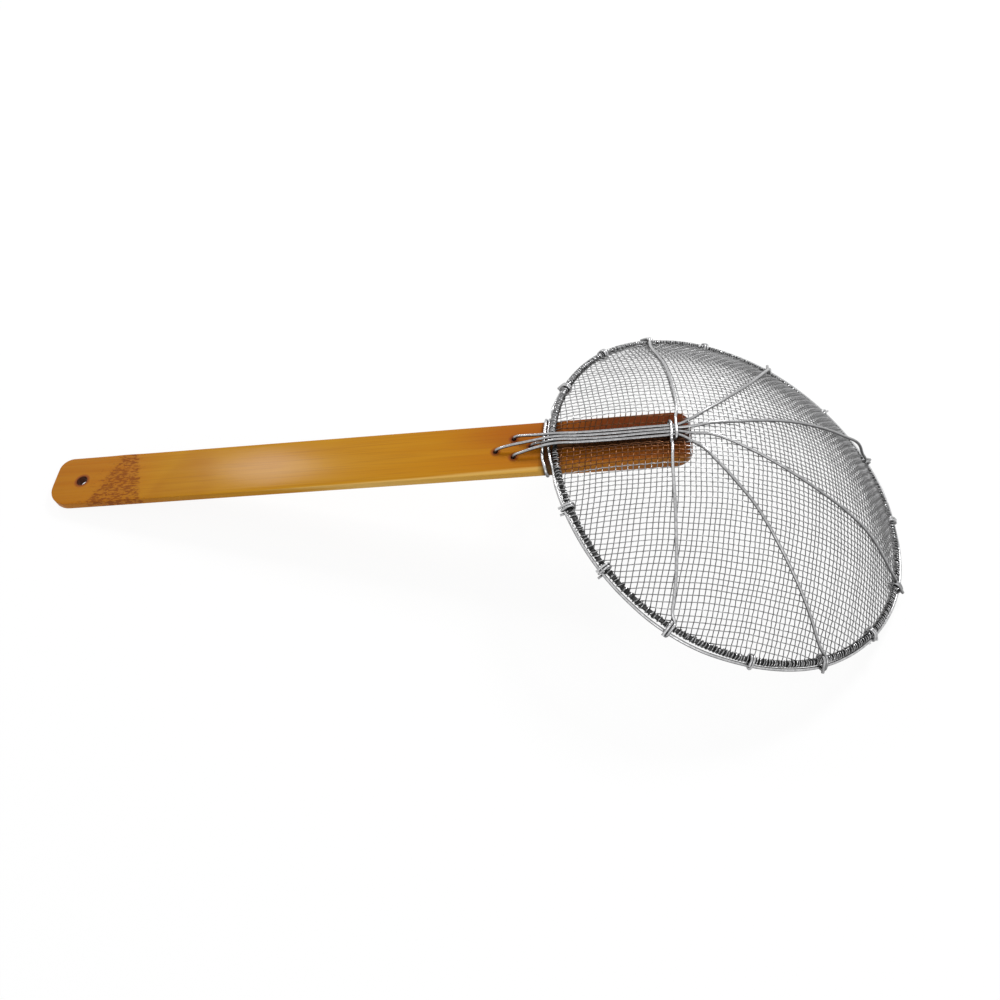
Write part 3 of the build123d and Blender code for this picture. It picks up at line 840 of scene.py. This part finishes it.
def rib_path(rim, bowl, row):
    """Points of one rib: from the back of the handle through its hole, along the bundle, over the dome and round
    the rim."""
    x, y = WIRE_HOLES[row][0], WIRE_HOLES[row][1] + HANDLE_SIDE
    side = (1.5 - row) * BUNDLE_SPACING + BUNDLE_SHIFT
    lift = bowl.rib_wire / MM / 2
    # From its hole the wire rises off the face and swings over to its place in the bundle.
    middle = (x + 4.5) * 0.45 - 0.55
    points = [
        on_handle(x, y, -5.0 - lift - 0.15), on_handle(x + 0.1, y, -2.5), on_handle(x + 0.25, y, 0.2),
        on_handle(x + 2.0, y + (side - y) * 0.06, 1.5), on_handle(x + 4.5, y + (side - y) * 0.18, 2.15),
        on_handle(middle, y + (side - y) * 0.65, (3.6, 3.6, 3.15, 3.6)[row]),
    ]
    wave = (0.08, 0.12, -0.1, 0.05)[row]
    for place in (-101.0, -90.0, -76.0, -62.0, -52.0, -47.6):
        offset = wave * math.sin(place / 6.0 + row)
        height = bundle_height(place) + 0.10 * math.sin(place / 7.0 + row * 2) - 0.1 * (row == 3)
        points.append((place * MM, (side + offset) * MM, height * MM))
    # It leaves the bundle at a slope, and one rib stands off the mesh on its way to the rim.
    for plan_x, plan_y in RIB_PLANS[row]:
        px, py, height = over_mesh(bowl, plan_x, plan_y)
        if px < -40:
            height = min(height, bundle_height(-47.5) + 0.57 * (px + 47.5))
        if row == 1 and 50 < px < 89:
            height += 3.3 * math.sin(math.pi * (px - 50) / 39) ** 2
        points.append((px * MM, py * MM, height * MM))
    return points + end_wrap(rim, bowl, RIB_ANGLES[row], (4.9, 5.3, 4.7, 5.2)[row])


def over_mesh(bowl, x, y):
    """Where a rib or the brace lies on the mesh, in millimetres, for a point of its plan. The plans were drawn on
    a slightly smaller rim."""
    grown = 1 + 0.01 * (math.hypot(x, y) / 100) ** 3
    x, y, rise = x * grown, y * grown, bowl.rise / MM
    slope = 2 * (rise - MESH_EDGE_HEIGHT) * math.hypot(x, y) / (RIM_RADIUS / MM - MESH_INSET) ** 2
    clear = 0.55 + bowl.rib_wire / MM / 2
    return x, y, float(mesh_height(rise, x, y, False)) + clear * math.hypot(1, slope)


class SKIMMER_OT_ribs(bpy.types.Operator):
    """Models the ribs: two long wires, each threaded through two holes and bent over the dome as a pair"""

    bl_idname = "skimmer.ribs"
    bl_label = "Ribs"

    def execute(self, context):
        rim, bowl, finish = wire_settings(context)
        material = steel_paint("rib_steel", shade(finish.steel, 0.98), 600.0, 0.20, 0.20, 0.85, (0.1, 0.85))
        for row, half in ((0, "upper"), (2, "lower")):
            path = rib_path(rim, bowl, row)[::-1] + rib_path(rim, bowl, row + 1)
            piece = bend_wires([path], bowl.rib_wire, sides=12, steps=5)
            finish_piece(piece, "rib_wire_" + half, material, "rib_pair_" + half)
        return {"FINISHED"}


class SKIMMER_OT_brace(bpy.types.Operator):
    """Models the cross brace: from rim to rim, with one turn round the bundle of ribs"""

    bl_idname = "skimmer.brace"
    bl_label = "Cross brace"

    def execute(self, context):
        rim, bowl, finish = wire_settings(context)
        wire = bowl.rib_wire / MM

        # The turn: over the bundle, back under it and over it again a little nearer to the handle.
        right, left = -48.4, -50.55
        top_right, top_left = bundle_height(right) + wire + 0.1, bundle_height(left) + wire + 0.1
        under = bundle_height(-49.5) - wire - 0.15
        turn = (
            (right, 7.4, top_right + 0.1), (right, 4.2, top_right), (right, 0.0, top_right),
            (right + 0.1, -2.8, top_right - 0.2), (right + 0.2, -4.5, top_right - 1.8),
            (right - 0.3, -3.2, under - 0.1), (-49.5, 0.9, under - 0.15), (left + 0.3, 5.0, under),
            (left, 6.1, top_left - 1.5), (left, 4.7, top_left - 0.1), (left, 1.6, top_left),
            (left, -2.6, top_left - 0.05), (left - 0.1, -6.2, top_left - 0.4),
        )
        upper, lower = ([over_mesh(bowl, *p) for p in plan] for plan in (BRACE_UPPER_PLAN, BRACE_LOWER_PLAN))
        upper_end, lower_end = (end_wrap(rim, bowl, angle, 5.0) for angle in BRACE_ANGLES)
        middle = [tuple(c * MM for c in point) for point in (*upper, *turn, *lower)]
        path = upper_end[::-1] + middle + lower_end
        piece = bend_wires([path], bowl.rib_wire, sides=12, steps=5)
        material = steel_paint("brace_steel", shade(finish.steel, 1.2), 650.0, 0.22, 0.20, 0.85, (0.1, 0.85))
        finish_piece(piece, "brace_wire", material, "cross_brace")
        return {"FINISHED"}


class SKIMMER_OT_ties(bpy.types.Operator):
    """Models the nine ties: short wires wound one and a half times round the rim, with ends that stand out"""

    bl_idname = "skimmer.ties"
    bl_label = "Rim ties"

    def execute(self, context):
        rim, _, finish = wire_settings(context)
        material = steel_paint("tie_steel", shade(finish.steel, 1.2), 900.0, 0.20, 0.22)
        draws = random.Random(5)
        for number, angle in enumerate(TIE_ANGLES, 1):
            pitch = rim.tie_wire * draws.uniform(1.1, 1.25)
            # Where the rim is outermost, short tails stay inside the solids' box.
            most = 2.6 if abs(math.sin(math.radians(2 * angle))) < 0.2 else 5.4
            tails = [min(most, draws.uniform(3.8, 5.4)) * MM for _ in range(2)]
            wrap = rim_wrap(rim, angle, rim.tie_wire, -80, -645, pitch, draws.choice((-1, 1)), tails)
            piece = bend_wires([wrap], rim.tie_wire, sides=10, steps=3)
            finish_piece(piece, f"tie_{number:02d}", material, f"rim_tie_{number:02d}")
        return {"FINISHED"}


# The camera in the bowl's frame: its place in millimetres, its right, up and backward directions, and its focal
# length and the width of its sensor in millimetres.
CAMERA_PLACE = (-231.95, -303.28, 343.07)
CAMERA_RIGHT = (0.9465, 0.0409, 0.3201)
CAMERA_UP = (-0.2197, 0.8083, 0.5462)
CAMERA_BACK = (-0.2364, -0.5873, 0.7741)
CAMERA_LENS = 33.865
CAMERA_SENSOR = 36.0


class SKIMMER_OT_stage(bpy.types.Operator):
    """Sets the stage: a pale floor, soft white surroundings, three soft lamps and the camera"""

    bl_idname = "skimmer.stage"
    bl_label = "Stage"

    def execute(self, context):
        scene = context.scene
        deselect()
        bpy.ops.mesh.primitive_plane_add(size=8, location=(0, 0, -0.0002))
        floor = context.active_object
        floor.name = "floor"
        paint = Paint("floor_white", Roughness=0.9)
        # The floor is nearly white where it is seen, also in gloss, and a pale surface to other light.
        rays = ("Is Camera Ray", "Is Glossy Ray", "Is Transmission Ray")
        by_camera, by_gloss, by_glass = paint.outputs("ShaderNodeLightPath", {}, *rays)
        seen = by_camera.math("MINIMUM", by_camera + by_gloss + by_glass, 1.0)
        pale = paint.node("ShaderNodeBsdfDiffuse", {}, {"Color": (0.8, 0.8, 0.8)}, "BSDF")
        faint = paint.node("ShaderNodeBsdfDiffuse", {}, {"Color": (0.10, 0.10, 0.10)}, "BSDF")
        glow = paint.node("ShaderNodeEmission", {}, {"Color": (1, 1, 1), "Strength": 0.92}, "Emission")
        both = paint.node("ShaderNodeAddShader", {}, (faint, glow), "Shader")
        surface = paint.node("ShaderNodeMixShader", {}, (seen, pale, both), "Shader")
        paint.feed(paint.tree.nodes["Material Output"].inputs["Surface"], surface)
        floor.data.materials.append(paint.material)

        self.light_world(scene)
        self.add_lamp("key", (0.35, 0.60, 0.72), 1.05, 0.25, 4.9)
        self.add_lamp("window", (-0.578, 0.550, 0.603), 1.18, 0.13, 1.5)
        self.add_lamp("fill", (0.10, -0.85, 0.60), 1.3, 0.6, 2.2)
        self.set_camera(scene)
        scene.view_settings.view_transform = "Standard"
        return {"FINISHED"}

    def light_world(self, scene):
        """White to the camera and in reflections, and a softer white as light."""
        world = bpy.data.worlds.new("white_surroundings")
        scene.world = world
        world.use_nodes = True
        tree = world.node_tree
        link = tree.links.new
        light, white = tree.nodes["Background"], tree.nodes.new("ShaderNodeBackground")
        for background, strength in ((light, 0.45), (white, 1.0)):
            background.inputs["Color"].default_value = (1, 1, 1, 1)
            background.inputs["Strength"].default_value = strength
        rays, mix = tree.nodes.new("ShaderNodeLightPath"), tree.nodes.new("ShaderNodeMixShader")
        seen = rays.outputs["Is Camera Ray"]
        for kind in ("Is Glossy Ray", "Is Transmission Ray"):
            either = tree.nodes.new("ShaderNodeMath")
            either.operation = "MAXIMUM"
            link(seen, either.inputs[0])
            link(rays.outputs[kind], either.inputs[1])
            seen = either.outputs[0]
        link(seen, mix.inputs["Fac"])
        link(light.outputs[0], mix.inputs[1])
        link(white.outputs[0], mix.inputs[2])
        link(mix.outputs[0], tree.nodes["World Output"].inputs["Surface"])

    def add_lamp(self, name, direction, distance, size, power):
        """A square lamp in a direction from the object, aimed at it."""
        deselect()
        aim = Vector(direction).normalized()
        turned = aim.to_track_quat("Z", "Y").to_euler()
        bpy.ops.object.light_add(type="AREA", location=aim * distance, rotation=turned)
        lamp = bpy.context.active_object
        lamp.name = name
        lamp.data.shape, lamp.data.size, lamp.data.energy = "SQUARE", size, power

    def set_camera(self, scene):
        """The camera where the photograph's was, worked out from the ties round the rim."""
        deselect()
        bpy.ops.object.camera_add()
        camera = bpy.context.active_object
        axes = [Vector(axis).normalized() for axis in (CAMERA_RIGHT, CAMERA_UP, CAMERA_BACK)]
        place = Matrix(axes).transposed().to_4x4()
        place.translation = Vector(CAMERA_PLACE) * MM
        camera.matrix_world = BOWL @ place
        view = camera.data
        view.sensor_width, view.lens = CAMERA_SENSOR, CAMERA_LENS
        view.clip_start, view.clip_end = 0.01, 20.0
        scene.camera = camera


class SKIMMER_PT_panel(bpy.types.Panel):
    """The skimmer's pieces, in the order in which they are built"""

    bl_idname = "SKIMMER_PT_panel"
    bl_label = "Spider skimmer"
    bl_space_type = "VIEW_3D"
    bl_region_type = "UI"
    bl_category = "Skimmer"

    def draw(self, context):
        for group in GROUPS:
            settings = getattr(context.scene, group)
            for name in settings.__annotations__:
                self.layout.prop(settings, name)
        for operator in OPERATORS:
            self.layout.operator(operator.bl_idname)


GROUPS = {
    "skimmer_rim": RimSettings,
    "skimmer_bowl": BowlSettings,
    "skimmer_handle": HandleSettings,
    "skimmer_finish": FinishSettings,
}
OPERATORS = (
    SKIMMER_OT_handle,
    SKIMMER_OT_hoop,
    SKIMMER_OT_winding,
    SKIMMER_OT_outer_wire,
    SKIMMER_OT_mesh,
    SKIMMER_OT_ribs,
    SKIMMER_OT_brace,
    SKIMMER_OT_ties,
    SKIMMER_OT_stage,
)


def register():
    for group in GROUPS.values():
        bpy.utils.register_class(group)
    for name, group in GROUPS.items():
        setattr(bpy.types.Scene, name, bpy.props.PointerProperty(type=group))
    for operator in OPERATORS:
        bpy.utils.register_class(operator)
    bpy.utils.register_class(SKIMMER_PT_panel)


def unregister():
    bpy.utils.unregister_class(SKIMMER_PT_panel)
    for operator in reversed(OPERATORS):
        bpy.utils.unregister_class(operator)
    for name in GROUPS:
        delattr(bpy.types.Scene, name)
    for group in GROUPS.values():
        bpy.utils.unregister_class(group)


def main():
    register()
    bpy.ops.skimmer.handle()
    bpy.ops.skimmer.hoop()
    bpy.ops.skimmer.winding()
    bpy.ops.skimmer.outer_wire()
    bpy.ops.skimmer.mesh()
    bpy.ops.skimmer.ribs()
    bpy.ops.skimmer.brace()
    bpy.ops.skimmer.ties()
    bpy.ops.skimmer.stage()


if __name__ == "__main__":
    main()
